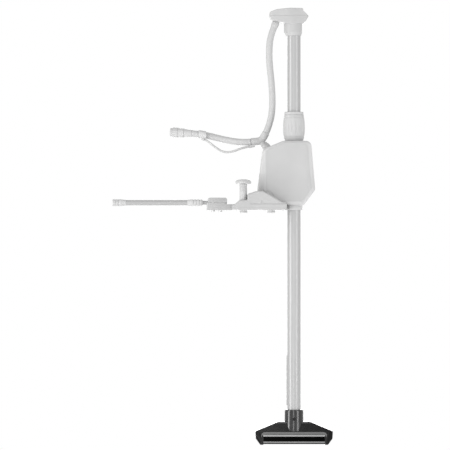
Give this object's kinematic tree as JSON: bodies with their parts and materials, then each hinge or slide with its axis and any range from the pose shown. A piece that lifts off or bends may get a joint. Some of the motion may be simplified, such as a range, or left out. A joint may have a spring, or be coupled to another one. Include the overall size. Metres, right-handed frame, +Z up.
{
  "type": "steered pole trolling motor",
  "caption": "Bow-mounted steered pole with a tilting deck mount, depth collar, telescopic hand bar, cable looms and a sonar-style T foot.",
  "frame": {"origin": "centre of the four deck bolts, on the underside of the isolator feet", "axes": "+Z up along the deployed pole, +X outboard from the deck towards the pole, +Y to the side away from the release knob"},
  "size_m": [0.6391, 0.1903, 1.2647],
  "materials": {
    "cast_alloy": "satin, light grey powder coat",
    "bare_steel": "satin stainless",
    "black_steel": "black oxide",
    "shaft_alloy": "satin light grey",
    "case_plastic": "fine texture, light grey",
    "trim_plastic": "fine texture, mid grey",
    "dark_plastic": "fine texture, near black",
    "foot_plastic": "fine texture, dark grey",
    "window_plastic": "gloss black",
    "frame_plastic": "satin dark grey",
    "soft_rubber": "matt grey",
    "black_rubber": "matt black",
    "cable_jacket": "matt light grey",
    "bearing_polymer": "natural acetal",
    "bearing_steel": "ground steel",
    "brass": "bright",
    "circuit": "green board",
    "lens_plastic": "smoked",
    "alloy": "machined"
  },
  "bodies": {
    "base": {"base_plate": "cast_alloy", "near_cheek": "cast_alloy", "far_cheek": "cast_alloy", "isolator_feet": "soft_rubber", "cheek_screws": "bare_steel", "tail_cap": "cast_alloy", "tail_screws": "bare_steel", "pivot_pin": "bare_steel", "stop_pad": "black_rubber", "knob_guide": "trim_plastic", "knob_seal": "black_rubber", "handle_rod": "bare_steel", "loom_deck": "cable_jacket", "loom_bypass": "cable_jacket", "loom_band": "cable_jacket", "plug_shell": "trim_plastic", "plug_contacts": "brass"},
    "knob": {"release_knob": "trim_plastic", "release_link": "bare_steel"},
    "bolt": {"lock_bolt": "bare_steel"},
    "bar": {"handle_tube": "shaft_alloy", "handle_end_cap": "trim_plastic"},
    "bar_lock": {"twist_collar": "trim_plastic"},
    "steering_unit": {"housing_front": "case_plastic", "housing_rear": "case_plastic", "housing_gasket": "soft_rubber", "housing_screws": "bare_steel", "tilt_bracket": "alloy", "pivot_bushes": "bearing_polymer", "steering_motor": "bare_steel", "sleeve_bearings": "bearing_steel", "nose_bush": "bearing_polymer", "control_board": "circuit", "cable_gland": "trim_plastic", "breakout_boot": "cable_jacket"},
    "sleeve": {"steering_sleeve": "alloy", "steering_gear": "bearing_polymer", "collar_ring": "trim_plastic"},
    "collar": {"depth_collar": "trim_plastic"},
    "pinion": {"drive_pinion": "brass"},
    "head": {"head_lower": "case_plastic", "head_upper": "case_plastic", "head_screws": "bare_steel", "head_lens": "lens_plastic", "head_bush": "bearing_polymer", "head_board": "circuit", "head_gland": "trim_plastic", "loom_upper": "cable_jacket"},
    "shaft": {"shaft_tube": "shaft_alloy", "cable_guard": "trim_plastic", "shaft_retainer": "bearing_steel", "shaft_harness": "black_rubber", "foot_housing": "foot_plastic", "foot_tongue": "foot_plastic", "foot_frame": "frame_plastic", "foot_window": "window_plastic", "sonar_array": "dark_plastic", "foot_cover": "foot_plastic", "foot_screws": "bare_steel", "foot_clamp_screw": "black_steel"}
  },
  "joints": [
    {"name": "tilt", "type": "hinge", "parent": "base", "child": "steering_unit", "pos_m": [0.0264, 0, 0.0435], "axis": [0, -1, 0], "range_deg": [0, 75], "deforming": ["loom_deck", "loom_bypass"]},
    {"name": "depth", "type": "slide", "parent": "steering_unit", "child": "head", "axis": [0, 0, 1], "range_m": [-0.19, 0], "deforming": ["loom_upper"]},
    {"name": "steer", "type": "hinge", "parent": "head", "child": "shaft", "pos_m": [0.106, 0, 0.2], "axis": [0, 0, 1], "range_deg": [-180, 180]},
    {"name": "sleeve_turn", "type": "hinge", "parent": "steering_unit", "child": "sleeve", "pos_m": [0.106, 0, 0.2], "axis": [0, 0, 1], "range_deg": [-180, 180]},
    {"name": "pinion_turn", "type": "hinge", "parent": "steering_unit", "child": "pinion", "pos_m": [0.058, 0, 0.12], "axis": [0, 0, 1], "range_deg": [-540, 540]},
    {"name": "collar_twist", "type": "hinge", "parent": "sleeve", "child": "collar", "pos_m": [0.106, 0, 0.25], "axis": [0, 0, 1], "range_deg": [0, 60]},
    {"name": "knob_push", "type": "slide", "parent": "base", "child": "knob", "axis": [0, 0, 1], "range_m": [-0.008, 0]},
    {"name": "bolt_slide", "type": "slide", "parent": "base", "child": "bolt", "axis": [0, 1, 0], "range_m": [0, 0.0048]},
    {"name": "bar_extend", "type": "slide", "parent": "base", "child": "bar", "axis": [-1, 0, 0], "range_m": [0, 0.1]},
    {"name": "bar_lock_turn", "type": "hinge", "parent": "bar", "child": "bar_lock", "pos_m": [-0.175, 0, 0.0298], "axis": [1, 0, 0], "range_deg": [0, 100]}
  ],
  "couplings": [
    {"joint": "sleeve_turn", "follows": "steer", "ratio": 1},
    {"joint": "pinion_turn", "follows": "steer", "ratio": -3},
    {"joint": "bolt_slide", "follows": "knob_push", "ratio": -0.6}
  ]
}
